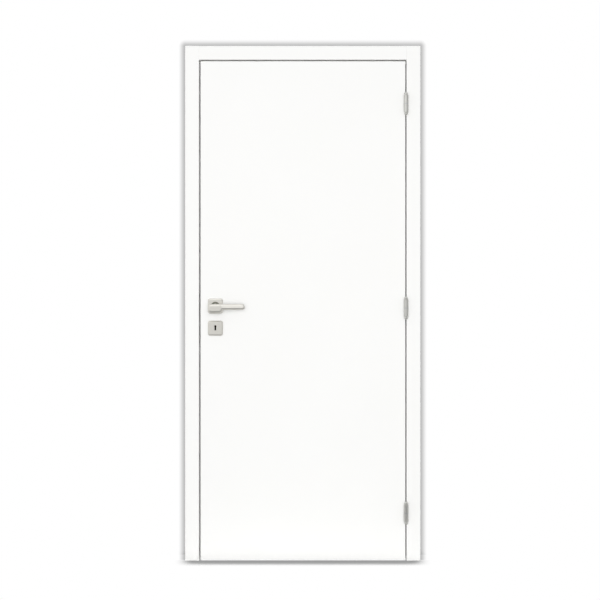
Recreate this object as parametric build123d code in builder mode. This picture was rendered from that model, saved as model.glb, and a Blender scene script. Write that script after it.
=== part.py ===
from build123d import *
import os

# A flush interior door. The leaf hangs on three lift-off hinges in a timber lining, and flat
# architraves cover the edges of the lining on both faces of the wall.
# X runs towards the hinge side, Y towards the far room and Z up. The origin is on the outer
# face of the hinge-side lining, at floor level and half way through the wall.

os.makedirs("parts", exist_ok=True)

# Leaf and the gaps round it
leaf_width = 830.0
leaf_height = 2022.0
leaf_thickness = 40.0
gap_hinge = 5.0
gap_latch = 7.0
gap_top = 6.0
gap_floor = 3.0
skin_thickness = 3.2
member_width = 45.0
lock_block_width = 80.0
lock_block_height = 340.0
arris = 1.5

# Lining, architraves, stops and seals
lining_thickness = 22.0
lining_depth = 120.0
architrave_width = 56.0
architrave_thickness = 12.0
stop_thickness = 18.0
stop_depth = 40.0
stop_gap = 5.0
seal_inset = 6.0
seal_width = 6.0
seal_stem = 3.0
seal_depth = 7.0
seal_gap = 0.5

# Hinges
hinge_heights = {"top": 1851.0, "middle": 1024.0, "bottom": 194.0}
knuckle_radius = 9.5
knuckle_height = 70.0
knuckle_stand_off = 11.0
pin_radius = 5.0
pin_running_gap = 0.05
pin_fixed_gap = 0.02
pin_end_gap = 6.0
pin_chamfer = 1.0
blade_height = 80.0
blade_depth = 29.5
blade_thickness = 2.5
blade_corner = 6.0
collar_radius = 9.1
collar_height = 1.8
collar_gap = 0.2
strap_overlap = 1.0
bore_end = (5.0, 3.0)
shoulder = (1.5, 1.0)
finial_height = 12.0
finial_groove = (2.7, 0.6, 1.4)
finial_swell = (1.9, 4.5)
finial_dome = (3.6, 1.6)

# Lock, bolts and strike plate
backset = 60.0
spindle_height = 1032.0
key_drop = 88.0
escutcheon_drop = 2.0
case_size = (85.0, 15.0, 165.0)
case_wall = 1.5
case_middle_height = 987.5
forend_size = (3.0, 20.0, 235.0)
bolt_thickness = 12.0
latch_height = 1034.0
latch_face = 24.0
latch_bevel = 11.0
latch_nose = 2.0
dead_bolt_height = 958.0
dead_bolt_face = 30.0
bolt_length = 25.0
tail_thickness = 3.0
tail_size = (47.0, 47.0)
strike_size = (2.0, 26.0, 170.0)
strike_corner = 3.0
strike_rise = 8.0
strike_shift = 1.0
strike_lip_height = 44.0
strike_lip_inset = 0.5
strike_pocket_depth = 16.0
window_gap = 1.0

# Lever set
spindle_side = 8.0
follower_radius = 9.0
neck_radius = 9.5
turning_gap = 0.05
plate_side = 61.0
plate_thickness = 9.0
plate_corner = 9.0
plate_round = 6.0
bush_radius = 17.5
bush_height = 4.0
bush_round = 1.5
bush_sleeve_radius = 12.0
bush_fixed_gap = 0.02
hub_size = (58.0, 24.0, 36.5)
hub_shift = 2.0
hub_drop = 10.25
hub_corner = 13.0
hub_round = 9.5
hub_back_round = 4.0
neck_inset = 0.5
neck_overlap = 1.0
lever_projection = 52.0
grip_reach = 121.0
grip_height = 24.0
grip_depth = 16.0
grip_inset = 1.5
grip_drop = 3.5
grip_tilt = 8.0
grip_round = 8.0
grip_back_round = 5.0
spindle_seat = 22.5
leaf_bore_radius = 12.0
keyhole_radius = 4.5
keyhole_slot = 7.0
keyhole_height = 21.0
key_bore = (14.0, 28.0, 6.5)

# Places that follow from the sizes above
opening_right = -lining_thickness
leaf_right = opening_right - gap_hinge
leaf_left = leaf_right - leaf_width
opening_left = leaf_left - gap_latch
lining_left = opening_left - lining_thickness
leaf_bottom = gap_floor
leaf_top = leaf_bottom + leaf_height
opening_top = leaf_top + gap_top
lining_top = opening_top + lining_thickness
lining_front = -lining_depth / 2
lining_back = lining_depth / 2
front_face = lining_front - architrave_thickness
back_face = lining_back + architrave_thickness
leaf_front = front_face
leaf_back = leaf_front + leaf_thickness
leaf_middle = leaf_front + leaf_thickness / 2
skin_front = leaf_front + skin_thickness
skin_back = leaf_back - skin_thickness
stop_front = leaf_back + stop_gap
stop_back = stop_front + stop_depth
architrave_top = opening_top + architrave_width
hinge_x = (leaf_right + opening_right) / 2
hinge_y = leaf_front - knuckle_stand_off
spindle_x = leaf_left + backset
key_height = spindle_height - key_drop
case_left = leaf_left + forend_size[0]
case_right = case_left + case_size[0]
bolt_front = leaf_middle - bolt_thickness / 2
bolt_back = leaf_middle + bolt_thickness / 2
mirror_plane = Plane.XZ.offset(-leaf_middle)


def board(low, high, mode=Mode.ADD):
    """Add or cut a rectangular board between two opposite corners."""
    with Locations(tuple((a + b) / 2 for a, b in zip(low, high))):
        Box(*(b - a for a, b in zip(low, high)), mode=mode)


def keep(piece, name):
    """Label a finished piece and write it to a file of its own."""
    piece.part.label = name
    export_step(piece.part, f"parts/{name}.step")


# Hinges

def hinge_blade(x_low, height):
    """The flat blade of a hinge half, as let in flush with the timber that carries it."""
    with BuildPart() as blade:
        with BuildSketch(Plane.YZ.offset(x_low)):
            with Locations((leaf_front + blade_depth / 2, height)):
                Rectangle(blade_depth, blade_height)
            fillet(vertices().group_by(Axis.X)[-1], blade_corner)
        extrude(amount=blade_thickness)
    return blade.part


def hinge_half(x_low, height, end, bore):
    """A blade with its knuckle and finial; end is 1 for the upper half and -1 for the lower."""
    half_height = knuckle_height / 2
    gap = collar_height / 2 + (collar_gap if end > 0 else 0)
    wall_middle = hinge_y + (knuckle_radius + bore) / 2
    tip = half_height + finial_height
    groove_radius = knuckle_radius - finial_groove[0]
    groove_end = (groove_radius, half_height + finial_groove[2])
    dome_edge, dome_height = finial_dome
    dome_start = (dome_edge, tip - dome_height)
    dome_radius = (dome_edge**2 + dome_height**2) / (2 * dome_height)
    dome_middle = (dome_edge / 2, tip - dome_radius + (dome_radius**2 - dome_edge**2 / 4) ** 0.5)
    axis_plane = Plane(origin=(hinge_x, hinge_y, height), x_dir=(1, 0, 0), z_dir=(0, -end, 0))
    ends = sorted((height + end * gap, height + end * half_height))
    with BuildPart() as half:
        add(hinge_blade(x_low, height))
        board(
            (x_low, wall_middle, ends[0]),
            (x_low + blade_thickness, leaf_front + strap_overlap, ends[1]),
        )
        with BuildSketch(axis_plane):
            with BuildLine():
                Polyline(
                    (0, tip),
                    (0, half_height - bore_end[1]),
                    (bore, half_height - bore_end[0]),
                    (bore, gap),
                    (knuckle_radius, gap),
                    (knuckle_radius, half_height - shoulder[1]),
                    (knuckle_radius - shoulder[0], half_height),
                    (groove_radius, half_height + finial_groove[1]),
                    groove_end,
                )
                ThreePointArc(
                    groove_end,
                    (knuckle_radius - finial_swell[0], half_height + finial_swell[1]),
                    dome_start,
                )
                ThreePointArc(dome_start, dome_middle, (0, tip))
            make_face()
        revolve(axis=Axis((hinge_x, hinge_y, height), (0, 0, 1)))
    return half


def hinge_pin(height):
    """The pin, with the collar that carries the upper knuckle on the lower one."""
    reach = knuckle_height / 2 - pin_end_gap
    with BuildPart() as pin:
        with BuildSketch(Plane(origin=(hinge_x, hinge_y, height), x_dir=(1, 0, 0), z_dir=(0, -1, 0))):
            with Locations((pin_radius / 2, 0)):
                Rectangle(pin_radius, 2 * reach)
            with Locations((collar_radius / 2, 0)):
                Rectangle(collar_radius, collar_height)
        revolve(axis=Axis((hinge_x, hinge_y, height), (0, 0, 1)))
        chamfer(edges().group_by(Axis.Z)[-1], pin_chamfer)
    return pin


for place, height in hinge_heights.items():
    keep(hinge_half(opening_right, height, -1, pin_radius + pin_fixed_gap), f"hinge_{place}_frame_blade")
    keep(hinge_half(leaf_right - blade_thickness, height, 1, pin_radius + pin_running_gap),
         f"hinge_{place}_leaf_blade")
    keep(hinge_pin(height), f"hinge_{place}_pin")


# Strike plate and the pockets behind it

strike_x = opening_left - strike_size[0]
strike_y = leaf_middle - strike_shift
strike_windows = {latch_height: latch_face, dead_bolt_height: dead_bolt_face}

with BuildPart() as strike_blank:
    with BuildSketch(Plane.YZ.offset(strike_x)):
        with Locations((strike_y, case_middle_height + strike_rise)):
            RectangleRounded(strike_size[1], strike_size[2], strike_corner)
    extrude(amount=strike_size[0])
    board(
        (strike_x, front_face + strike_lip_inset, latch_height - strike_lip_height / 2),
        (opening_left, strike_y, latch_height + strike_lip_height / 2),
    )

with BuildPart() as strike_plate:
    add(strike_blank.part)
    for height, face in strike_windows.items():
        board(
            (strike_x, bolt_front - window_gap, height - face / 2 - window_gap),
            (opening_left, bolt_back + window_gap, height + face / 2 + window_gap),
            mode=Mode.SUBTRACT,
        )
keep(strike_plate, "strike_plate")


# Lining

with BuildPart() as lining_hinge_side:
    board((opening_right, lining_front, 0), (0, lining_back, lining_top))
    for height in hinge_heights.values():
        add(hinge_blade(opening_right, height), mode=Mode.SUBTRACT)
keep(lining_hinge_side, "lining_hinge_side")

with BuildPart() as lining_latch_side:
    board((lining_left, lining_front, 0), (opening_left, lining_back, lining_top))
    add(strike_blank.part, mode=Mode.SUBTRACT)
    for height, face in strike_windows.items():
        board(
            (strike_x - strike_pocket_depth, bolt_front - window_gap, height - face / 2 - window_gap),
            (strike_x, bolt_back + window_gap, height + face / 2 + window_gap),
            mode=Mode.SUBTRACT,
        )
keep(lining_latch_side, "lining_latch_side")

with BuildPart() as lining_head:
    board((opening_left, lining_front, opening_top), (opening_right, lining_back, lining_top))
keep(lining_head, "lining_head")


# Architraves on both faces of the wall, with the head between the legs

wall_sides = {"front": (front_face, lining_front, 0), "back": (lining_back, back_face, -1)}

for side, (y_low, y_high, outer) in wall_sides.items():
    with BuildPart() as architrave_hinge_side:
        board((opening_right, y_low, 0), (opening_right + architrave_width, y_high, architrave_top))
        fillet(edges().filter_by(Axis.Z).group_by(Axis.Y)[outer], arris)
        for height in hinge_heights.values():
            add(hinge_blade(opening_right, height), mode=Mode.SUBTRACT)
    keep(architrave_hinge_side, f"architrave_{side}_hinge_side")

    with BuildPart() as architrave_latch_side:
        board((opening_left - architrave_width, y_low, 0), (opening_left, y_high, architrave_top))
        fillet(edges().filter_by(Axis.Z).group_by(Axis.Y)[outer], arris)
        add(strike_blank.part, mode=Mode.SUBTRACT)
    keep(architrave_latch_side, f"architrave_{side}_latch_side")

    with BuildPart() as architrave_head:
        board((opening_left, y_low, opening_top), (opening_right, y_high, architrave_top))
        fillet(edges().filter_by(Axis.X).group_by(Axis.Y)[outer], arris)
    keep(architrave_head, f"architrave_{side}_head")


# Stops planted on the lining, with the seals in their front grooves

seal_face = leaf_back + seal_gap
groove_end = stop_front + seal_depth


def stop_profile(x_low, x_high, seal_x, height):
    """An upright stop with its front groove."""
    with BuildPart() as stop:
        board((x_low, stop_front, 0), (x_high, stop_back, height))
        fillet(edges().filter_by(Axis.Z).group_by(Axis.Y)[-1], arris)
        board(
            (seal_x - seal_stem / 2, stop_front, 0),
            (seal_x + seal_stem / 2, groove_end, height),
            mode=Mode.SUBTRACT,
        )
    return stop


def seal_section():
    """The seal's cross-section about its own middle: a stem in the groove and a soft bulb in front."""
    with BuildSketch() as section:
        with Locations((0, (stop_front + groove_end) / 2)):
            Rectangle(seal_stem, seal_depth)
        with BuildLine():
            ThreePointArc(
                (-seal_width / 2, stop_front), (0, seal_face), (seal_width / 2, stop_front)
            )
            Line((seal_width / 2, stop_front), (-seal_width / 2, stop_front))
        make_face()
    return section.sketch


latch_seal_x = opening_left + stop_thickness - seal_inset
hinge_seal_x = opening_right - stop_thickness + seal_inset
head_seal_z = opening_top - stop_thickness + seal_inset

keep(stop_profile(opening_left, opening_left + stop_thickness, latch_seal_x, opening_top),
     "stop_latch_side")
keep(stop_profile(opening_right - stop_thickness, opening_right, hinge_seal_x, opening_top),
     "stop_hinge_side")

with BuildPart() as stop_head:
    board(
        (opening_left + stop_thickness, stop_front, opening_top - stop_thickness),
        (opening_right - stop_thickness, stop_back, opening_top),
    )
    fillet(edges().filter_by(Axis.X).group_by(Axis.Y)[-1], arris)
    board(
        (opening_left + stop_thickness, stop_front, head_seal_z - seal_stem / 2),
        (opening_right - stop_thickness, groove_end, head_seal_z + seal_stem / 2),
        mode=Mode.SUBTRACT,
    )
keep(stop_head, "stop_head")

head_seal_start = opening_left + stop_thickness
head_seal_plane = Plane(origin=(head_seal_start, 0, head_seal_z), x_dir=(0, 0, -1), z_dir=(1, 0, 0))

with BuildPart() as seals:
    with BuildSketch(Plane.XY):
        with Locations((latch_seal_x, 0), (hinge_seal_x, 0)):
            add(seal_section())
    extrude(amount=leaf_top)
    with BuildSketch(head_seal_plane):
        add(seal_section())
    extrude(amount=opening_right - opening_left - 2 * stop_thickness)
keep(seals, "seals")


# Lock, with its bolts drawn back

with BuildPart() as forend_blank:
    with BuildSketch(Plane.YZ.offset(leaf_left)):
        with Locations((leaf_middle, case_middle_height)):
            SlotOverall(forend_size[2], forend_size[1], rotation=90)
    extrude(amount=forend_size[0])

with BuildPart() as case_blank:
    board(
        (case_left, leaf_middle - case_size[1] / 2, case_middle_height - case_size[2] / 2),
        (case_right, leaf_middle + case_size[1] / 2, case_middle_height + case_size[2] / 2),
    )

with BuildPart() as bolt_ways:
    for height, face in strike_windows.items():
        board(
            (leaf_left, bolt_front, height - face / 2),
            (case_left + case_wall, bolt_back, height + face / 2),
        )

with BuildPart() as keyway:
    with BuildSketch(Plane.XZ.offset(-back_face)):
        with Locations((spindle_x, key_height + keyhole_height / 2 - keyhole_radius)):
            Circle(keyhole_radius)
        with Locations((spindle_x, key_height - keyhole_radius / 2)):
            Rectangle(keyhole_slot, keyhole_height - keyhole_radius)
    extrude(amount=2 * (back_face - front_face))

with BuildPart() as leaf_bores:
    with BuildSketch(Plane.XZ.offset(-leaf_back)):
        with Locations((spindle_x, spindle_height)):
            Circle(leaf_bore_radius)
        with Locations((spindle_x, key_height)):
            RectangleRounded(*key_bore)
    extrude(amount=leaf_thickness)

with BuildPart() as lock_forend:
    add(forend_blank.part)
    add(bolt_ways.part, mode=Mode.SUBTRACT)
keep(lock_forend, "lock_forend")

with BuildPart() as lock_case:
    add(case_blank.part)
    offset(amount=-case_wall, mode=Mode.SUBTRACT)
    add(bolt_ways.part, mode=Mode.SUBTRACT)
    with BuildSketch(Plane.XZ.offset(-leaf_back)):
        with Locations((spindle_x, spindle_height)):
            Circle(follower_radius + turning_gap)
    extrude(amount=leaf_thickness, mode=Mode.SUBTRACT)
    add(keyway.part, mode=Mode.SUBTRACT)
keep(lock_case, "lock_case")

# The latch bolt is bevelled on the side that meets the strike first as the door closes
with BuildPart() as latch_bolt:
    with BuildSketch(Plane.XY.offset(latch_height - latch_face / 2)):
        with BuildLine():
            Polyline(
                (leaf_left, bolt_front),
                (leaf_left + bolt_length, bolt_front),
                (leaf_left + bolt_length, bolt_back),
                (leaf_left + latch_bevel, bolt_back),
                (leaf_left, bolt_front + latch_nose),
                close=True,
            )
        make_face()
    extrude(amount=latch_face)
keep(latch_bolt, "latch_bolt")

# The dead bolt's tail lies behind the keyhole
with BuildPart() as dead_bolt:
    board(
        (leaf_left, bolt_front, dead_bolt_height - dead_bolt_face / 2),
        (leaf_left + bolt_length, bolt_back, dead_bolt_height + dead_bolt_face / 2),
    )
    board(
        (leaf_left + bolt_length, leaf_middle - tail_thickness / 2, key_height - tail_size[1] / 2),
        (leaf_left + bolt_length + tail_size[0], leaf_middle + tail_thickness / 2,
         key_height + tail_size[1] / 2),
    )
keep(dead_bolt, "dead_bolt")


# Leaf: two skins on a timber frame, with a solid core and a block for the lock

stile_latch_right = leaf_left + member_width
stile_hinge_left = leaf_right - member_width
rail_bottom_top = leaf_bottom + member_width
rail_top_bottom = leaf_top - member_width
block_low = (stile_latch_right, skin_front, case_middle_height - lock_block_height / 2)
block_high = (
    stile_latch_right + lock_block_width, skin_back, case_middle_height + lock_block_height / 2
)

for side, (y_low, y_high, outer) in {
    "front": (leaf_front, skin_front, 0), "back": (skin_back, leaf_back, -1)
}.items():
    with BuildPart() as skin:
        board((leaf_left, y_low, leaf_bottom), (leaf_right, y_high, leaf_top))
        fillet(faces().filter_by(Axis.Y).sort_by(Axis.Y)[outer].edges(), arris)
        for height in hinge_heights.values():
            add(hinge_blade(leaf_right - blade_thickness, height), mode=Mode.SUBTRACT)
        add(leaf_bores.part, mode=Mode.SUBTRACT)
    keep(skin, f"leaf_skin_{side}")

with BuildPart() as leaf_stile_latch_side:
    board((leaf_left, skin_front, leaf_bottom), (stile_latch_right, skin_back, leaf_top))
    add(forend_blank.part, mode=Mode.SUBTRACT)
    add(case_blank.part, mode=Mode.SUBTRACT)
keep(leaf_stile_latch_side, "leaf_stile_latch_side")

with BuildPart() as leaf_stile_hinge_side:
    board((stile_hinge_left, skin_front, leaf_bottom), (leaf_right, skin_back, leaf_top))
    for height in hinge_heights.values():
        add(hinge_blade(leaf_right - blade_thickness, height), mode=Mode.SUBTRACT)
keep(leaf_stile_hinge_side, "leaf_stile_hinge_side")

with BuildPart() as leaf_rail_bottom:
    board((stile_latch_right, skin_front, leaf_bottom), (stile_hinge_left, skin_back, rail_bottom_top))
keep(leaf_rail_bottom, "leaf_rail_bottom")

with BuildPart() as leaf_rail_top:
    board((stile_latch_right, skin_front, rail_top_bottom), (stile_hinge_left, skin_back, leaf_top))
keep(leaf_rail_top, "leaf_rail_top")

with BuildPart() as leaf_lock_block:
    board(block_low, block_high)
    add(case_blank.part, mode=Mode.SUBTRACT)
    add(leaf_bores.part, mode=Mode.SUBTRACT)
keep(leaf_lock_block, "leaf_lock_block")

with BuildPart() as leaf_core:
    board((stile_latch_right, skin_front, rail_bottom_top), (stile_hinge_left, skin_back, rail_top_bottom))
    board(block_low, block_high, mode=Mode.SUBTRACT)
keep(leaf_core, "leaf_core")


# Rose and escutcheon, square plates with rounded corners on both faces of the leaf

def square_plate(height):
    """A square cover plate on the front of the leaf."""
    with BuildPart() as plate:
        with BuildSketch(Plane.XZ.offset(-leaf_front)):
            with Locations((spindle_x, height)):
                RectangleRounded(plate_side, plate_side, plate_corner)
        extrude(amount=plate_thickness)
        fillet(faces().sort_by(Axis.Y)[0].edges(), plate_round)
    return plate.part


with BuildPart() as rose_front:
    add(square_plate(spindle_height))
    with BuildSketch(Plane.XZ.offset(-leaf_front)):
        with Locations((spindle_x, spindle_height)):
            Circle(bush_sleeve_radius)
    extrude(amount=plate_thickness, mode=Mode.SUBTRACT)
keep(rose_front, "rose_front")

with BuildPart() as rose_back:
    mirror(rose_front.part, about=mirror_plane)
keep(rose_back, "rose_back")

# The bush that the lever's neck turns in: a sleeve in the rose with a ring in front of it
with BuildPart() as bush_front:
    with BuildSketch(Plane.XZ.offset(-leaf_front)):
        with Locations((spindle_x, spindle_height)):
            Circle(bush_sleeve_radius - bush_fixed_gap)
    extrude(amount=plate_thickness)
    with BuildSketch(Plane.XZ.offset(-leaf_front + plate_thickness)):
        with Locations((spindle_x, spindle_height)):
            Circle(bush_radius)
    extrude(amount=bush_height)
    fillet(faces().sort_by(Axis.Y)[0].edges(), bush_round)
    with BuildSketch(Plane.XZ.offset(-leaf_front)):
        with Locations((spindle_x, spindle_height)):
            Circle(neck_radius + turning_gap)
    extrude(amount=plate_thickness + bush_height, mode=Mode.SUBTRACT)
keep(bush_front, "bush_front")

with BuildPart() as bush_back:
    mirror(bush_front.part, about=mirror_plane)
keep(bush_back, "bush_back")

with BuildPart() as escutcheon_front:
    add(square_plate(key_height - escutcheon_drop))
    add(keyway.part, mode=Mode.SUBTRACT)
keep(escutcheon_front, "escutcheon_front")

with BuildPart() as escutcheon_back:
    mirror(escutcheon_front.part, about=mirror_plane)
keep(escutcheon_back, "escutcheon_back")


# Lever: a neck in the rose, a cushion-shaped hub over it and a straight grip

lever_face = leaf_front - lever_projection
hub_back = lever_face + hub_size[1]
neck_end = leaf_front - neck_inset
grip_front = lever_face + grip_inset
grip_middle = (spindle_x + grip_reach / 2, grip_front + grip_depth / 2, spindle_height - grip_drop)

with BuildPart() as grip:
    with BuildSketch(Plane.XZ.offset(-grip_front - grip_depth)):
        with Locations((grip_middle[0], grip_middle[2])):
            SlotOverall(grip_reach, grip_height)
    extrude(amount=grip_depth)
    fillet(faces().sort_by(Axis.Y)[0].edges(), grip_round)
    fillet(faces().sort_by(Axis.Y)[-1].edges(), grip_back_round)

with BuildPart() as lever_front:
    with BuildSketch(Plane.XZ.offset(-hub_back)):
        with Locations((spindle_x + hub_shift, spindle_height - hub_drop)):
            RectangleRounded(hub_size[0], hub_size[2], hub_corner)
    extrude(amount=hub_size[1])
    fillet(faces().sort_by(Axis.Y)[0].edges(), hub_round)
    fillet(faces().sort_by(Axis.Y)[-1].edges(), hub_back_round)
    add(grip.part.rotate(Axis(grip_middle, (1, 0, 0)), -grip_tilt))
    with BuildSketch(Plane.XZ.offset(-neck_end)):
        with Locations((spindle_x, spindle_height)):
            Circle(neck_radius)
    extrude(amount=neck_end - hub_back + neck_overlap)
    with BuildSketch(Plane.XZ.offset(-neck_end)):
        with Locations((spindle_x, spindle_height)):
            Rectangle(spindle_side, spindle_side)
    extrude(amount=spindle_seat, mode=Mode.SUBTRACT)
keep(lever_front, "lever_front")

with BuildPart() as lever_back:
    mirror(lever_front.part, about=mirror_plane)
keep(lever_back, "lever_back")

spindle_front = neck_end - spindle_seat

with BuildPart() as spindle:
    board(
        (spindle_x - spindle_side / 2, spindle_front, spindle_height - spindle_side / 2),
        (spindle_x + spindle_side / 2, 2 * leaf_middle - spindle_front,
         spindle_height + spindle_side / 2),
    )
keep(spindle, "spindle")

with BuildPart() as lock_follower:
    with BuildSketch(Plane.XZ.offset(-leaf_middle - case_size[1] / 2)):
        with Locations((spindle_x, spindle_height)):
            Circle(follower_radius)
            Rectangle(spindle_side, spindle_side, mode=Mode.SUBTRACT)
    extrude(amount=case_size[1])
keep(lock_follower, "lock_follower")
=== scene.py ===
# %% [markdown]
# # An interior door, dressed and lit
# The construction of this door comes ready made: every board, blade and plate stands at its real
# size in the frame that is loaded below. What is left to do here is what a finisher, a fitter and
# a photographer would do: lacquer the wood, brush the metal, drive the screws and set the lights.

# %% Load the construction
import math

import bmesh
import bpy
from mathutils import Matrix, Vector


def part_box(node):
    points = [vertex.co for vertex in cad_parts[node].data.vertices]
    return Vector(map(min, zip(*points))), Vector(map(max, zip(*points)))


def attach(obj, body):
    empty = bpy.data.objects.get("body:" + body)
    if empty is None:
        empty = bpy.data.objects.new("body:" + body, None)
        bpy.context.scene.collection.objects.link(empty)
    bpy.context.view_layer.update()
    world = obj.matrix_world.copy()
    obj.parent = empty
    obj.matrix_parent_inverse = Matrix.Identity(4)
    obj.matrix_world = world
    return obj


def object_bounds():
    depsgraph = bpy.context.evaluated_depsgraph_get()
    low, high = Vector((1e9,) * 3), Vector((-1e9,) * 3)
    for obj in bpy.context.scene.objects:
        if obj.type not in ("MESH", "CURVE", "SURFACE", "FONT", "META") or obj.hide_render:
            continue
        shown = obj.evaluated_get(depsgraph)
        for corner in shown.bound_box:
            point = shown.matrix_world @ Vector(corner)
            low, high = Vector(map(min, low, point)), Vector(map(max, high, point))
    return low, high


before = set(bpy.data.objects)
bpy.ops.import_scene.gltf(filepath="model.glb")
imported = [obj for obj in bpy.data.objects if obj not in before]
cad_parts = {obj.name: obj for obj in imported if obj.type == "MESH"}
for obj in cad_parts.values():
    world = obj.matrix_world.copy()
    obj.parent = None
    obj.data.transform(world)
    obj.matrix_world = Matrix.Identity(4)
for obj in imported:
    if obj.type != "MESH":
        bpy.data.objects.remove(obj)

construction_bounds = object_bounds()

# %% [markdown]
# ## Units and small helpers
# Blender works in metres and a joiner in millimetres, so one constant turns millimetres into
# metres and one function turns the size of a pattern into the scale of a texture. Paint charts
# give colours as sRGB hex values, while shaders work in linear light, so one function does that
# step too. One more adds a shader node with its settings, values and links, and the last three
# start a material, feed its shader, and keep a piece of the studio out of sight of some rays.

# %% Helpers
MM = 0.001


def per_metre(millimetres):
    """The texture scale at which one feature of a pattern is that many millimetres wide."""
    return 1 / (millimetres * MM)


def linear(hex_colour):
    """An sRGB hex colour as linear red, green, blue and alpha."""
    parts = [int(hex_colour[i:i + 2], 16) / 255 for i in (1, 3, 5)]
    return [p / 12.92 if p <= 0.04045 else ((p + 0.055) / 1.055) ** 2.4 for p in parts] + [1.0]


def add_node(tree, kind, inputs=None, **settings):
    """Add a node with its settings; each input is a value or the socket that feeds it."""
    added = tree.nodes.new(kind)
    for name, value in settings.items():
        setattr(added, name, value)
    for key, value in (inputs or {}).items():
        if isinstance(value, bpy.types.NodeSocket):
            tree.links.new(value, added.inputs[key])
        else:
            added.inputs[key].default_value = value
    return added


def new_material(name, **constants):
    """A material with one Principled shader; what is the same all over is set on its sockets."""
    material = bpy.data.materials.new(name)
    material.use_nodes = True
    tree = material.node_tree
    shader = tree.nodes["Principled BSDF"]
    for key, value in constants.items():
        shader.inputs[key.replace("_", " ")].default_value = value
    place = add_node(tree, "ShaderNodeTexCoord").outputs["Object"]
    return material, tree, shader, place


def feed(tree, shader, **sockets):
    """Link sockets to the inputs of a shader; an underscore stands for the space in a name."""
    for key, socket in sockets.items():
        tree.links.new(socket, shader.inputs[key.replace("_", " ")])


def hide_from(piece, rays):
    """Keep a piece out of sight of those kinds of rays."""
    for ray in rays:
        setattr(piece, "visible_" + ray, False)


WHITE = linear("#FFFFFF")
print("one millimetre pattern has scale", per_metre(1))

# %% [markdown]
# ## The camera
# The photograph looks straight at the door from a few metres away, at about chest height, with
# its upright edges parallel. A level camera with a long lens gives that. Its distance follows
# from the width that the picture takes in at the face of the frame.

# %% Camera
LENS = 85 * MM
SENSOR = 36 * MM
VIEW_WIDTH = 2.433
EYE = (-0.4541, 1.0565)
FRONT_FACE_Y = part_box("architrave_front_head")[0].y

camera_data = bpy.data.cameras.new("camera")
camera_data.lens = LENS / MM
camera_data.sensor_width = SENSOR / MM
camera = bpy.data.objects.new("camera", camera_data)
bpy.context.scene.collection.objects.link(camera)
camera_distance = VIEW_WIDTH * LENS / SENSOR
camera.location = (EYE[0], FRONT_FACE_Y - camera_distance, EYE[1])
camera.rotation_euler = (math.radians(90), 0, 0)
bpy.context.scene.camera = camera
print("camera stands", round(camera_distance, 2), "m in front of the frame")

# %% [markdown]
# ## White lacquer
# Leaf, lining and architraves are fibreboard with a sprayed white lacquer. Sprayed lacquer is
# smooth but not glassy: it flows out into a very fine orange peel, a couple of millimetres from
# crest to crest, and its white drifts by a hair over a board. Lacquer is a dielectric, so its
# index of refraction is about 1.5 and its metallic value is 0. The orange peel is only a few
# microns high, so bump is the right tool for it and not geometry.

# %% White lacquer
ORANGE_PEEL_MM = 2.2
PEEL_DEPTH_MM = 0.02
TONE_DRIFT_MM = 450


def white_lacquer():
    material, tree, shader, place = new_material(
        "white_lacquered_fibreboard", IOR=1.5, Specular_IOR_Level=0.4)
    drift = add_node(tree, "ShaderNodeTexNoise",
                     {"Vector": place, "Scale": per_metre(TONE_DRIFT_MM), "Detail": 3.0})
    tone = add_node(tree, "ShaderNodeMix",
                    {"Factor": drift.outputs["Fac"], "A": linear("#F6F6F4"),
                     "B": linear("#F9F9F8")},
                    data_type="RGBA")
    peel = add_node(tree, "ShaderNodeTexNoise",
                    {"Vector": place, "Scale": per_metre(ORANGE_PEEL_MM), "Detail": 2.0})
    gloss = add_node(tree, "ShaderNodeMapRange",
                     {"Value": drift.outputs["Fac"], "To Min": 0.34, "To Max": 0.42})
    bump = add_node(tree, "ShaderNodeBump",
                    {"Height": peel.outputs["Fac"], "Strength": 0.35,
                     "Distance": PEEL_DEPTH_MM * MM})
    feed(tree, shader, Base_Color=tone.outputs["Result"], Roughness=gloss.outputs["Result"],
         Normal=bump.outputs["Normal"])
    return material


lacquer = white_lacquer()
print(lacquer.name, "has orange peel", ORANGE_PEEL_MM, "mm wide")

# %% [markdown]
# ## Satin nickel
# Levers, plates and hinges are zinc or steel with a nickel plate that was brushed with a fine
# belt. Nickel is a metal, so its colour is in its reflection: a warm grey. The brushing shows as
# fine lines along the piece, which spread the reflection and dim it a little in streaks. The real
# lines are about a tenth of a millimetre apart, and here they are drawn coarser so that they show.

# %% Satin nickel
BRUSH_LINE_MM = 0.5
BRUSH_LENGTH_MM = 18
BRUSH_DEPTH_MM = 0.02
CLOUD_MM = 25
ROUGHNESS_DRIFT = 0.04


def satin_nickel(name, brushed_along, light, dark, roughness):
    """Brushed nickel; brushed_along is the number of the axis that the lines follow."""
    material, tree, shader, place = new_material(name, Metallic=1.0)
    stretch = [per_metre(BRUSH_LINE_MM)] * 3
    stretch[brushed_along] = per_metre(BRUSH_LENGTH_MM)
    along = add_node(tree, "ShaderNodeVectorMath", {0: place, 1: stretch}, operation="MULTIPLY")
    lines = add_node(tree, "ShaderNodeTexNoise",
                     {"Vector": along.outputs["Vector"], "Scale": 1.0, "Detail": 2.0})
    cloud = add_node(tree, "ShaderNodeTexNoise",
                     {"Vector": place, "Scale": per_metre(CLOUD_MM), "Detail": 2.0})
    tone = add_node(tree, "ShaderNodeMix",
                    {"Factor": lines.outputs["Fac"], "A": linear(dark), "B": linear(light)},
                    data_type="RGBA")
    gloss = add_node(tree, "ShaderNodeMapRange",
                     {"Value": cloud.outputs["Fac"], "To Min": roughness - ROUGHNESS_DRIFT,
                      "To Max": roughness + ROUGHNESS_DRIFT})
    bump = add_node(tree, "ShaderNodeBump",
                    {"Height": lines.outputs["Fac"], "Strength": 0.3,
                     "Distance": BRUSH_DEPTH_MM * MM})
    feed(tree, shader, Base_Color=tone.outputs["Result"], Roughness=gloss.outputs["Result"],
         Normal=bump.outputs["Normal"])
    return material


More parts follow.
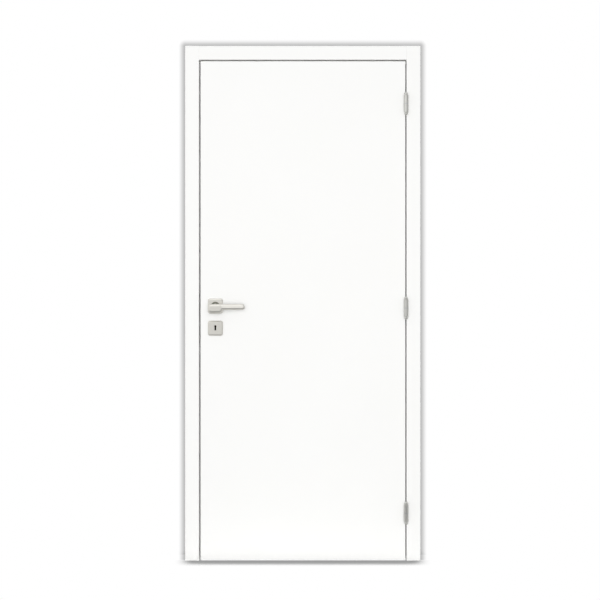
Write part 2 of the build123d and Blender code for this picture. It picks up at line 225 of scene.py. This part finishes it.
nickel_level = satin_nickel("satin_nickel_brushed_level", 0, "#E2E0DA", "#CBC9C2", 0.34)
nickel_upright = satin_nickel("satin_nickel_brushed_upright", 2, "#D2D2CE", "#B8B8B4", 0.36)
print(nickel_level.name, "and", nickel_upright.name, "have lines", BRUSH_LINE_MM, "mm apart")

# %% [markdown]
# ## Zinc plated steel
# The lock's case, its bolts, the spindle and the hinge pins are steel with a bright zinc plate.
# Nobody polishes them, so they keep the faint spangle of the plating bath and a cooler grey.

# %% Zinc plated steel
SPANGLE_MM = 3


def zinc_plated_steel():
    material, tree, shader, place = new_material("zinc_plated_steel", Metallic=1.0)
    spangle = add_node(tree, "ShaderNodeTexVoronoi",
                       {"Vector": place, "Scale": per_metre(SPANGLE_MM)})
    tone = add_node(tree, "ShaderNodeMix",
                    {"Factor": spangle.outputs["Distance"], "A": linear("#B9BDC0"),
                     "B": linear("#A4A8AB")}, data_type="RGBA")
    gloss = add_node(tree, "ShaderNodeMapRange",
                     {"Value": spangle.outputs["Distance"], "To Min": 0.28, "To Max": 0.40})
    feed(tree, shader, Base_Color=tone.outputs["Result"], Roughness=gloss.outputs["Result"])
    return material


zinc = zinc_plated_steel()
print(zinc.name, "has spangles", SPANGLE_MM, "mm wide")

# %% [markdown]
# ## Oiled bolt steel with painted shade
# The dead bolt's nose is as bright as the other plated pieces, but the rest of it lies in the
# greased dark of the lock case, and that is what one sees through the keyhole. The finish
# therefore changes along the bolt: plated at its nose, and further in dull with old oil and
# darkened with painted shade, which stands for the shade inside the lock case.

# %% Oiled bolt steel with painted shade
NOSE_LENGTH_MM = 16
OIL_AND_SHADE_EDGE_MM = 6
SMEAR_MM = 4


def oiled_bolt_steel_painted_shade():
    material, tree, shader, place = new_material("oiled_bolt_steel_painted_shade", Metallic=1.0)
    nose_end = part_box("dead_bolt")[0].x + NOSE_LENGTH_MM * MM
    across = add_node(tree, "ShaderNodeSeparateXYZ", {"Vector": place})
    inside = add_node(tree, "ShaderNodeMapRange",
                      {"Value": across.outputs["X"], "From Min": nose_end,
                       "From Max": nose_end + OIL_AND_SHADE_EDGE_MM * MM})
    smear = add_node(tree, "ShaderNodeTexNoise", {"Vector": place, "Scale": per_metre(SMEAR_MM)})
    # Painted shade: these two dark tones stand both for old oil and for the shade inside the lock
    # case.
    oil_and_shade = add_node(tree, "ShaderNodeMix",
                   {"Factor": smear.outputs["Fac"], "A": linear("#3A342B"), "B": linear("#2B2620")},
                   data_type="RGBA")
    tone = add_node(tree, "ShaderNodeMix",
                    {"Factor": inside.outputs["Result"], "A": linear("#B0B4B7"),
                     "B": oil_and_shade.outputs["Result"]}, data_type="RGBA")
    gloss = add_node(tree, "ShaderNodeMapRange",
                     {"Value": inside.outputs["Result"], "To Min": 0.34, "To Max": 0.6})
    feed(tree, shader, Base_Color=tone.outputs["Result"], Roughness=gloss.outputs["Result"])
    return material


bolt_steel = oiled_bolt_steel_painted_shade()
print(bolt_steel.name, "is clean over", NOSE_LENGTH_MM, "mm")

# %% [markdown]
# ## Nylon, seal and chipboard
# The bush that the lever turns in is moulded nylon, matt, with a fine eroded grain from its mould;
# its dark grey is partly the nylon's own and partly painted shade, the shade between the lever's
# hub and the rose. The seal is soft white thermoplastic rubber, extruded, so it is matt and shows
# faint lines, here along its two upright lengths. The leaf's core is chipboard, pressed from flakes
# of a
# few millimetres, and the block that holds the lock is pine. Both are closed in by the leaf, and
# only show if the leaf is taken apart, but they still get the material that they really have.

# %% Nylon bush
MOULD_GRAIN_MM = 0.6
GRAIN_DEPTH_MM = 0.03


def nylon_with_painted_shade():
    material, tree, shader, place = new_material("nylon_with_painted_shade", IOR=1.53)
    grain = add_node(tree, "ShaderNodeTexNoise",
                     {"Vector": place, "Scale": per_metre(MOULD_GRAIN_MM)})
    # Painted shade: this dark grey is partly the nylon's own and partly the shade between hub and
    # rose.
    tone = add_node(tree, "ShaderNodeMix",
                    {"Factor": grain.outputs["Fac"], "A": linear("#6A6B60"),
                     "B": linear("#7A7B6F")},
                    data_type="RGBA")
    gloss = add_node(tree, "ShaderNodeMapRange",
                     {"Value": grain.outputs["Fac"], "To Min": 0.5, "To Max": 0.62})
    bump = add_node(tree, "ShaderNodeBump",
                    {"Height": grain.outputs["Fac"], "Strength": 0.3,
                     "Distance": GRAIN_DEPTH_MM * MM})
    feed(tree, shader, Base_Color=tone.outputs["Result"], Roughness=gloss.outputs["Result"],
         Normal=bump.outputs["Normal"])
    return material


bush_nylon_and_shade = nylon_with_painted_shade()
print(bush_nylon_and_shade.name, "has grain", MOULD_GRAIN_MM, "mm wide")

# %% Seal
DIE_LINE_MM = 1
DIE_LENGTH_MM = 40


def extruded_rubber():
    material, tree, shader, place = new_material("extruded_thermoplastic_rubber", IOR=1.48)
    along = add_node(tree, "ShaderNodeVectorMath",
                     {0: place, 1: (per_metre(DIE_LINE_MM), per_metre(DIE_LINE_MM),
                                    per_metre(DIE_LENGTH_MM))}, operation="MULTIPLY")
    lines = add_node(tree, "ShaderNodeTexNoise", {"Vector": along.outputs["Vector"], "Scale": 1.0})
    tone = add_node(tree, "ShaderNodeMix",
                    {"Factor": lines.outputs["Fac"], "A": linear("#E2E2DF"),
                     "B": linear("#EDEDEA")},
                    data_type="RGBA")
    gloss = add_node(tree, "ShaderNodeMapRange",
                     {"Value": lines.outputs["Fac"], "To Min": 0.6, "To Max": 0.75})
    feed(tree, shader, Base_Color=tone.outputs["Result"], Roughness=gloss.outputs["Result"])
    return material


rubber = extruded_rubber()
print(rubber.name, "has lines", DIE_LINE_MM, "mm apart")

# %% Chipboard and pine
FLAKE_MM = 5
FLAKE_DEPTH_MM = 0.2
RING_MM = 30


def pressed_chipboard():
    material, tree, shader, place = new_material("pressed_chipboard", IOR=1.5, Roughness=0.85)
    flakes = add_node(tree, "ShaderNodeTexVoronoi", {"Vector": place, "Scale": per_metre(FLAKE_MM)})
    shades = add_node(tree, "ShaderNodeSeparateColor", {"Color": flakes.outputs["Color"]})
    tone = add_node(tree, "ShaderNodeMix",
                    {"Factor": shades.outputs["Red"], "A": linear("#A9875C"),
                     "B": linear("#D6BB8E")},
                    data_type="RGBA")
    bump = add_node(tree, "ShaderNodeBump",
                    {"Height": shades.outputs["Green"], "Strength": 0.5,
                     "Distance": FLAKE_DEPTH_MM * MM})
    feed(tree, shader, Base_Color=tone.outputs["Result"], Normal=bump.outputs["Normal"])
    return material


def planed_pine():
    material, tree, shader, place = new_material("planed_pine", IOR=1.5, Roughness=0.6)
    rings = add_node(tree, "ShaderNodeTexWave",
                     {"Vector": place, "Scale": per_metre(RING_MM), "Distortion": 3.0,
                      "Detail": 2.0},
                     bands_direction="X")
    tone = add_node(tree, "ShaderNodeMix",
                    {"Factor": rings.outputs["Fac"], "A": linear("#E0BE8A"),
                     "B": linear("#C79A60")},
                    data_type="RGBA")
    feed(tree, shader, Base_Color=tone.outputs["Result"])
    return material


chipboard = pressed_chipboard()
pine = planed_pine()
print("materials", sorted(m.name for m in bpy.data.materials))

# %% [markdown]
# ## Dress the construction
# Each node of the construction keeps its shape and gets the finish of its real piece. A list of
# beginnings of names is enough, because the pieces are named for what they are.

# %% Dress the construction
FINISHES = [
    ("leaf_core", chipboard), ("leaf_lock_block", pine), ("leaf_", lacquer),
    ("lining_", lacquer), ("architrave_", lacquer), ("stop_", lacquer), ("seals", rubber),
    ("bush_", bush_nylon_and_shade), ("hinge_top_pin", zinc), ("hinge_middle_pin", zinc),
    ("hinge_bottom_pin", zinc), ("hinge_", nickel_upright), ("strike_plate", nickel_upright),
    ("lock_forend", nickel_upright), ("rose_", nickel_level), ("escutcheon_", nickel_level),
    ("lever_", nickel_level), ("lock_", zinc), ("latch_bolt", zinc), ("dead_bolt", bolt_steel),
    ("spindle", zinc),
]

for name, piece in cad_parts.items():
    finish = next(material for start, material in FINISHES if name.startswith(start))
    piece.data.materials.clear()
    piece.data.materials.append(finish)
print("dressed", len(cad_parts), "nodes")

# %% [markdown]
# ## Screws
# Blades, forend and strike plate are held by countersunk screws with a slightly raised head and
# a cross recess. A head is a surface of revolution, a shallow dome, and the cross is pressed into
# its middle. The heads that belong together are drawn into one mesh, face by face.

# %% The shape of a head
HEAD_RADIUS = 4.0 * MM
HEAD_RISE = 0.9 * MM
HEAD_SINK = 0.4 * MM
CROSS_LENGTH = 2.6 * MM
CROSS_WIDTH = 0.55 * MM
CROSS_DEPTH = 1.3 * MM
CROSS_EDGE = 0.1 * MM


def head_height(x, y):
    """Height of the head's surface over the plate at a place measured from its middle."""
    out = math.hypot(x, y)
    dome = HEAD_RISE * (1 - (out / HEAD_RADIUS) ** 2)
    for along, across in ((x, y), (y, x)):
        if abs(along) < CROSS_LENGTH and abs(across) < CROSS_WIDTH:
            return dome - CROSS_DEPTH * (1 - abs(along) / CROSS_LENGTH) - CROSS_EDGE
    return dome


print("cross is", round(-head_height(0, 0) / MM, 2), "mm deep under the plate")

# %% One screw head
RINGS = 10
STEPS = 48
CIRCLE = [(math.cos(math.tau * step / STEPS), math.sin(math.tau * step / STEPS))
          for step in range(STEPS)]


def add_circle(work, where, radius, height):
    """Add the vertices of a circle, at the height that a function gives for each place."""
    places = [(radius * x, radius * y) for x, y in CIRCLE]
    return [work.verts.new(where @ Vector((x, y, height(x, y)))) for x, y in places]


def add_head(work, middle, facing):
    """Add one head: rings of faces from its middle to its rim, then its edge and its underside."""
    turn = Vector(facing).to_track_quat("Z", "Y").to_matrix().to_4x4()
    where = Matrix.Translation(middle) @ turn
    inner = [work.verts.new(where @ Vector((0, 0, head_height(0, 0))))] * STEPS
    for ring in range(1, RINGS + 1):
        outer = add_circle(work, where, HEAD_RADIUS * ring / RINGS, head_height)
        for step in range(STEPS):
            after = (step + 1) % STEPS
            corners = [inner[step], outer[step], outer[after]]
            if ring > 1:
                corners.append(inner[after])
            work.faces.new(corners)
        inner = outer
    base = add_circle(work, where, HEAD_RADIUS, lambda x, y: -HEAD_SINK)
    work.faces.new(base[::-1])
    for step in range(STEPS):
        after = (step + 1) % STEPS
        work.faces.new([inner[step], base[step], base[after], inner[after]])


print("a head has", RINGS, "rings of", STEPS, "faces")

# %% Screw heads as one piece
def screw_heads(name, places, body):
    """Heads as one piece; places are pairs of the middle of a head and the way that it faces."""
    mesh = bpy.data.meshes.new(name)
    work = bmesh.new()
    for middle, facing in places:
        add_head(work, middle, facing)
    work.to_mesh(mesh)
    work.free()
    piece = bpy.data.objects.new(name, mesh)
    bpy.context.scene.collection.objects.link(piece)
    mesh.materials.append(zinc)
    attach(piece, body)
    print(name, len(places), "heads on body", body)


# %% Screws in the hinge blades
HINGES = ("top", "middle", "bottom")
# Each screw's height from the middle of its hinge and its depth from the front of the frame, in mm.
SCREW_STEPS = ((-28, 19), (0, 10), (28, 19))


def blade_screws(kind, side):
    """Three screws in each blade, staggered, on the face that looks into the gap."""
    face_x = {"frame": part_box("lining_hinge_side")[0].x,
              "leaf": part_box("leaf_skin_front")[1].x}[kind]
    places = []
    for hinge in HINGES:
        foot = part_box(f"hinge_{hinge}_frame_blade")[0].z
        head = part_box(f"hinge_{hinge}_leaf_blade")[1].z
        for up, back in SCREW_STEPS:
            middle = (face_x, FRONT_FACE_Y + back * MM, (foot + head) / 2 + up * MM)
            places.append((middle, (side, 0, 0)))
    return places


screw_heads("hinge_screws_frame", blade_screws("frame", -1), "frame")
screw_heads("hinge_screws_leaf", blade_screws("leaf", 1), "leaf")

# %% Screws in the forend and the strike plate
forend_low, forend_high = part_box("lock_forend")
strike_low, strike_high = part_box("strike_plate")
FOREND_SCREW_INSET = 14 * MM
STRIKE_SCREW_INSET = 9 * MM
forend_y = (forend_low.y + forend_high.y) / 2
forend_screws = [
    ((forend_low.x, forend_y, z), (-1, 0, 0))
    for z in (forend_low.z + FOREND_SCREW_INSET, forend_high.z - FOREND_SCREW_INSET)
]
strike_screws = [
    ((strike_high.x, forend_y, z), (1, 0, 0))
    for z in (strike_low.z + STRIKE_SCREW_INSET, strike_high.z - STRIKE_SCREW_INSET)
]
screw_heads("forend_screws", forend_screws, "leaf")
screw_heads("strike_screws", strike_screws, "frame")

# %% [markdown]
# ## Floor
# The set is as plain as in the photograph: everything round the door is white. The floor is a
# round sheet of white paper. The camera and mirror-like surfaces see it as white as the world, so
# that only shade shows on it; for the light that it throws back on the door it stays ordinary
# paper. Distances from the frame are needed for it, so these come first, as chains of vector nodes.

# %% Distances from the door
BACK_FACE_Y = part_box("architrave_back_head")[1].y
outline_low, outline_high = construction_bounds
END_INSET = 40 * MM
footprint_middle = ((outline_low[0] + outline_high[0]) / 2, (FRONT_FACE_Y + BACK_FACE_Y) / 2, 0)
footprint_half = ((outline_high[0] - outline_low[0]) / 2 - END_INSET,
                  (BACK_FACE_Y - FRONT_FACE_Y) / 2, 0)
lining_half_width = (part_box("lining_hinge_side")[1].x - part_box("lining_latch_side")[0].x) / 2


def folded_place(tree, middle):
    """Socket of a point's place, measured from a middle along each axis, without its sign."""
    place = add_node(tree, "ShaderNodeTexCoord").outputs["Object"]
    centred = add_node(tree, "ShaderNodeVectorMath", {0: place, 1: middle}, operation="SUBTRACT")
    return add_node(tree, "ShaderNodeVectorMath", {0: centred.outputs["Vector"]},
                    operation="ABSOLUTE").outputs["Vector"]


def distance_beyond(tree, folded, half, counted=(1, 1, 1)):
    """Socket of the distance from a box of that half size, with each axis counted that often."""
    past = add_node(tree, "ShaderNodeVectorMath", {0: folded, 1: half}, operation="SUBTRACT")
    outside = add_node(tree, "ShaderNodeVectorMath", {0: past.outputs["Vector"], 1: (0, 0, 0)},
                       operation="MAXIMUM")
    stretched = add_node(tree, "ShaderNodeVectorMath", {0: outside.outputs["Vector"], 1: counted},
                         operation="MULTIPLY")
    return add_node(tree, "ShaderNodeVectorMath", {0: stretched.outputs["Vector"]},
                    operation="LENGTH").outputs["Value"]


def seen_directly(tree):
    """Socket that is 1 for rays of the camera, of mirror-like and of see-through surfaces."""
    path = add_node(tree, "ShaderNodeLightPath")
    mirrored = add_node(tree, "ShaderNodeMath",
                        {0: path.outputs["Is Camera Ray"], 1: path.outputs["Is Glossy Ray"]},
                        operation="MAXIMUM")
    return add_node(tree, "ShaderNodeMath",
                    {0: mirrored.outputs["Value"], 1: path.outputs["Is Transmission Ray"]},
                    operation="MAXIMUM").outputs["Value"]


print("footprint of the frame", [round(2 * half, 3) for half in footprint_half])

# %% Sheets of the stage
FLOOR_RADIUS = 6.0
FLOOR_CORNERS = 96


def sheet(name, corners_of_faces):
    """A flat stage piece made of flat faces, each given by its corners."""
    mesh = bpy.data.meshes.new(name)
    work = bmesh.new()
    for corners in corners_of_faces:
        work.faces.new([work.verts.new(corner) for corner in corners])
    work.to_mesh(mesh)
    work.free()
    piece = bpy.data.objects.new(name, mesh)
    bpy.context.scene.collection.objects.link(piece)
    return piece


turns = [math.tau * corner / FLOOR_CORNERS for corner in range(FLOOR_CORNERS)]
floor = sheet("floor", [[(FLOOR_RADIUS * math.cos(turn) + footprint_middle[0],
                          FLOOR_RADIUS * math.sin(turn), 0) for turn in turns]])
print("floor is", 2 * FLOOR_RADIUS, "m wide")

# %% [markdown]
# ## White paper
# Close to the door the paper darkens, as paper does where a heavy thing shades it from most of the
# light: an ambient occlusion node measures how much of the space above each point is free, and
# that measure sets the tone. Further out the sheet fades into the world, so no horizon shows. It
# fades soonest past the two ends of the frame, where the photograph shows no shade, so distances
# along the frame count several times. It stays clear beside the depth of the frame, and where the
# leaf hangs a few millimetres over it, because the photograph shows no shade there either. A second
# occlusion node with a short reach finds the places right under the leaf, wherever it has swung.

# %% What the paper shows
CONTACT_REACH = 0.12
CONTACT_FREE = (0.62, 0.985)
CONTACT_POWER = 3.0
CONTACT_TONE = "#9D9D9D"
PAPER_TONE = "#FAFAFA"
OCCLUSION_SAMPLES = 16


def paper_surface(tree):
    """Socket of the paper's shader: shaded near the door when seen, and plain for other light."""
    free = add_node(tree, "ShaderNodeAmbientOcclusion", {"Distance": CONTACT_REACH},
                    samples=OCCLUSION_SAMPLES)
    share = add_node(tree, "ShaderNodeMapRange",
                     {"Value": free.outputs["AO"], "From Min": CONTACT_FREE[0],
                      "From Max": CONTACT_FREE[1]})
    lit = add_node(tree, "ShaderNodeMath", {0: share.outputs["Result"], 1: CONTACT_POWER},
                   operation="POWER")
    tone = add_node(tree, "ShaderNodeMix",
                    {"Factor": lit.outputs["Value"], "A": linear(CONTACT_TONE), "B": WHITE},
                    data_type="RGBA")
    shown = add_node(tree, "ShaderNodeEmission", {"Color": tone.outputs["Result"]})
    plain = add_node(tree, "ShaderNodeBsdfDiffuse", {"Color": linear(PAPER_TONE)})
    surface = add_node(tree, "ShaderNodeMixShader",
                       {0: seen_directly(tree), 1: plain.outputs["BSDF"],
                        2: shown.outputs["Emission"]})
    return surface.outputs["Shader"]


print("paper darkens within", CONTACT_REACH, "m of what stands on it")

# %% Where the paper clears
FADE_START = 0.06
FADE_END = 0.75
END_COUNT = 8.5
END_SOFTNESS = 2 * MM
EDGE_SOFTNESS = 10 * MM
LOW_REACH = 20 * MM
LOW_FREE = (0.08, 0.2)


def clear_share(tree):
    """Socket that is 0 where the paper shows, and 1 where only the world behind it does."""
    folded = folded_place(tree, footprint_middle)
    away = distance_beyond(tree, folded, footprint_half, (END_COUNT, 1, 1))
    fade = add_node(tree, "ShaderNodeMapRange",
                    {"Value": away, "From Min": FADE_START, "From Max": FADE_END},
                    interpolation_type="SMOOTHSTEP")
    sides = add_node(tree, "ShaderNodeSeparateXYZ", {"Vector": folded})
    past_end = add_node(tree, "ShaderNodeMapRange",
                        {"Value": sides.outputs["X"], "From Min": lining_half_width,
                         "From Max": lining_half_width + END_SOFTNESS})
    in_depth = add_node(tree, "ShaderNodeMapRange",
                        {"Value": sides.outputs["Y"], "From Min": footprint_half[1] - EDGE_SOFTNESS,
                         "From Max": footprint_half[1], "To Min": 1.0, "To Max": 0.0})
    beside = add_node(tree, "ShaderNodeMath",
                      {0: past_end.outputs["Result"], 1: in_depth.outputs["Result"]},
                      operation="MULTIPLY")
    close_over = add_node(tree, "ShaderNodeAmbientOcclusion", {"Distance": LOW_REACH},
                          samples=OCCLUSION_SAMPLES)
    covered = add_node(tree, "ShaderNodeMapRange",
                       {"Value": close_over.outputs["AO"], "From Min": LOW_FREE[0],
                        "From Max": LOW_FREE[1], "To Min": 1.0, "To Max": 0.0})
    hidden = add_node(tree, "ShaderNodeMath",
                      {0: beside.outputs["Value"], 1: covered.outputs["Result"]},
                      operation="MAXIMUM")
    faded = add_node(tree, "ShaderNodeMath",
                     {0: fade.outputs["Result"], 1: hidden.outputs["Value"]},
                     operation="MAXIMUM")
    return faded.outputs["Value"]


print("paper clears from", FADE_START, "to", FADE_END, "m away from the frame")

# %% White paper
def bare_material(name):
    """A material that has only its output yet, for a sheet of the stage."""
    material = bpy.data.materials.new(name)
    material.use_nodes = True
    tree = material.node_tree
    tree.nodes.remove(tree.nodes["Principled BSDF"])
    return material, tree, tree.nodes["Material Output"]


paper, tree, output = bare_material("white_paper")
clear = add_node(tree, "ShaderNodeBsdfTransparent")
mixed = add_node(tree, "ShaderNodeMixShader",
                 {0: clear_share(tree), 1: paper_surface(tree), 2: clear.outputs["BSDF"]})
feed(tree, output, Surface=mixed.outputs["Shader"])
floor.data.materials.append(paper)
print(paper.name, "lies on the floor")

# %% [markdown]
# ## The shade beside the frame
# A white frame on white would lose its edge. In the photograph a thin soft grey line draws the
# outline, because the architraves shade what lies right beside and behind them. Only that shade is
# made: a narrow upright sheet of the stage, just behind the front architraves, that is darkest at
# the outline of the frame and clears over three centimetres. Nothing but the camera sees it.

# %% Shade beside the frame
SHADE_WIDTH = 30 * MM
SHADE_TONE = "#BCBCBC"
SHADE_SETBACK = 0.5 * MM
shade_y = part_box("lining_head")[0].y + SHADE_SETBACK
left, right, top = outline_low[0], outline_high[0], outline_high[2]
left_out, right_out, top_out = left - SHADE_WIDTH, right + SHADE_WIDTH, top + SHADE_WIDTH
strips = ((left_out, left, 0, top), (right, right_out, 0, top), (left_out, right_out, top, top_out))
shade = sheet("edge_shade", [
    [(x_low, shade_y, z_low), (x_high, shade_y, z_low),
     (x_high, shade_y, z_high), (x_low, shade_y, z_high)]
    for x_low, x_high, z_low, z_high in strips
])
hide_from(shade, ("diffuse", "glossy", "transmission", "volume_scatter", "shadow"))
print("edge shade stands at", round(shade_y, 4))

# %% Soft shade
soft_shade, tree, output = bare_material("soft_shade")
away = distance_beyond(tree, folded_place(tree, ((left + right) / 2, shade_y, 0)),
                       ((right - left) / 2, 1, top))
lit = add_node(tree, "ShaderNodeMapRange", {"Value": away, "From Max": SHADE_WIDTH},
               interpolation_type="SMOOTHSTEP")
tone = add_node(tree, "ShaderNodeMix",
                {"Factor": lit.outputs["Result"], "A": linear(SHADE_TONE), "B": WHITE},
                data_type="RGBA")
tinted = add_node(tree, "ShaderNodeBsdfTransparent", {"Color": tone.outputs["Result"]})
feed(tree, output, Surface=tinted.outputs["BSDF"])
shade.data.materials.append(soft_shade)
print("edge shade clears over", SHADE_WIDTH, "m")

# %% [markdown]
# ## World
# The camera and mirror-like surfaces see the world at a strength of 1, which is white, while the
# light that the world gives is set apart from that.

# %% World
WORLD_LIGHT = 0.52
WORLD_SEEN = 1.0
world = bpy.data.worlds.new("studio")
bpy.context.scene.world = world
world.use_nodes = True
tree = world.node_tree
dim = tree.nodes["Background"]
dim.inputs["Color"].default_value = WHITE
dim.inputs["Strength"].default_value = WORLD_LIGHT
white = add_node(tree, "ShaderNodeBackground", {"Color": WHITE, "Strength": WORLD_SEEN})
mixed = add_node(tree, "ShaderNodeMixShader",
                 {0: seen_directly(tree), 1: dim.outputs["Background"],
                  2: white.outputs["Background"]})
feed(tree, tree.nodes["World Output"], Surface=mixed.outputs["Shader"])
print("world lights the door at", WORLD_LIGHT, "and is seen at", WORLD_SEEN)

# %% [markdown]
# ## Lamps
# Four soft boxes. The front one is square, stands behind the camera and lights the lacquer evenly
# from top to bottom, and a little way into the gaps round the leaf. It would burn out every flat
# plate that mirrors it, so mirror-like surfaces don't see it. The high one, a little to the left,
# is there for them alone: turned-up metal edges catch it. It gives no other light, so the lever
# throws no shadow on the leaf, as in the photograph. The two back ones stand behind the door and
# light its sides and its back, so that the lacquer is white from there too.

# %% Lamps
DOOR_MIDDLE = Vector((EYE[0], 0, EYE[1]))
# Place, width and height in metres, power in watts, and the rays that don't see the lamp.
LAMPS = {
    "front_soft_box": ((EYE[0], -7.0, 1.2), (4.0, 4.0), 268, "glossy"),
    "back_left_soft_box": ((EYE[0] - 5.0, 4.5, 1.8), (3.0, 3.0), 140, "glossy"),
    "back_right_soft_box": ((EYE[0] + 5.0, 4.5, 1.8), (3.0, 3.0), 140, "glossy"),
    "high_soft_box": ((-1.8, -3.2, 4.0), (5.0, 4.5), 33, "diffuse"),
}

for name, (place, size, power, unseen_by) in LAMPS.items():
    data = bpy.data.lights.new(name, "AREA")
    data.shape = "RECTANGLE"
    data.energy = power
    data.size, data.size_y = size
    lamp = bpy.data.objects.new(name, data)
    lamp.location = place
    lamp.rotation_euler = (DOOR_MIDDLE - lamp.location).to_track_quat("-Z", "Y").to_euler()
    hide_from(lamp, ("camera", unseen_by))
    bpy.context.scene.collection.objects.link(lamp)
    print(name, "stands", round((DOOR_MIDDLE - lamp.location).length, 2), "m away")

# %% [markdown]
# ## Dark cards
# In an all-white room a satin metal piece has no form: every side of it mirrors the same white.
# Photographers lay dark cards just outside the picture, so that the undersides and the far edges
# of the metal go grey. The cards here do only that: nothing but a mirroring surface sees them.

# %% Dark cards
FELT_FIBRE_MM = 8
CARD_LEFT, CARD_RIGHT = -3.2, 2.3
CARD_NEAR, CARD_FAR = -0.35, -4.0
CARD_LIFT, CARD_TOP = 0.02, 3.0
CARDS = {
    "card_below": ("#B4B4B4", "#BEBEBE", [
        (CARD_LEFT, CARD_NEAR, CARD_LIFT), (CARD_RIGHT, CARD_NEAR, CARD_LIFT),
        (CARD_RIGHT, CARD_FAR, CARD_LIFT), (CARD_LEFT, CARD_FAR, CARD_LIFT)]),
    "card_right": ("#CCCCCC", "#D6D6D6", [
        (CARD_RIGHT, CARD_NEAR, 0.0), (CARD_RIGHT, CARD_NEAR, CARD_TOP),
        (CARD_RIGHT, CARD_FAR, CARD_TOP), (CARD_RIGHT, CARD_FAR, 0.0)]),
}

for name, (dark_felt, light_felt, corners) in CARDS.items():
    card = sheet(name, [corners])
    hide_from(card, ("camera", "diffuse", "transmission", "volume_scatter", "shadow"))
    felt, tree, shader, place = new_material(
        name + "_felt", Roughness=1.0, Specular_IOR_Level=0.0)
    fibres = add_node(tree, "ShaderNodeTexNoise",
                      {"Vector": place, "Scale": per_metre(FELT_FIBRE_MM)})
    tone = add_node(tree, "ShaderNodeMix",
                    {"Factor": fibres.outputs["Fac"], "A": linear(dark_felt),
                     "B": linear(light_felt)},
                    data_type="RGBA")
    feed(tree, shader, Base_Color=tone.outputs["Result"])
    card.data.materials.append(felt)
print("dark cards", sorted(CARDS))

# %% [markdown]
# ## Colour management
# The standard view transform shows each colour about as it is written.

# %% Finish
bpy.context.scene.view_settings.view_transform = "Standard"
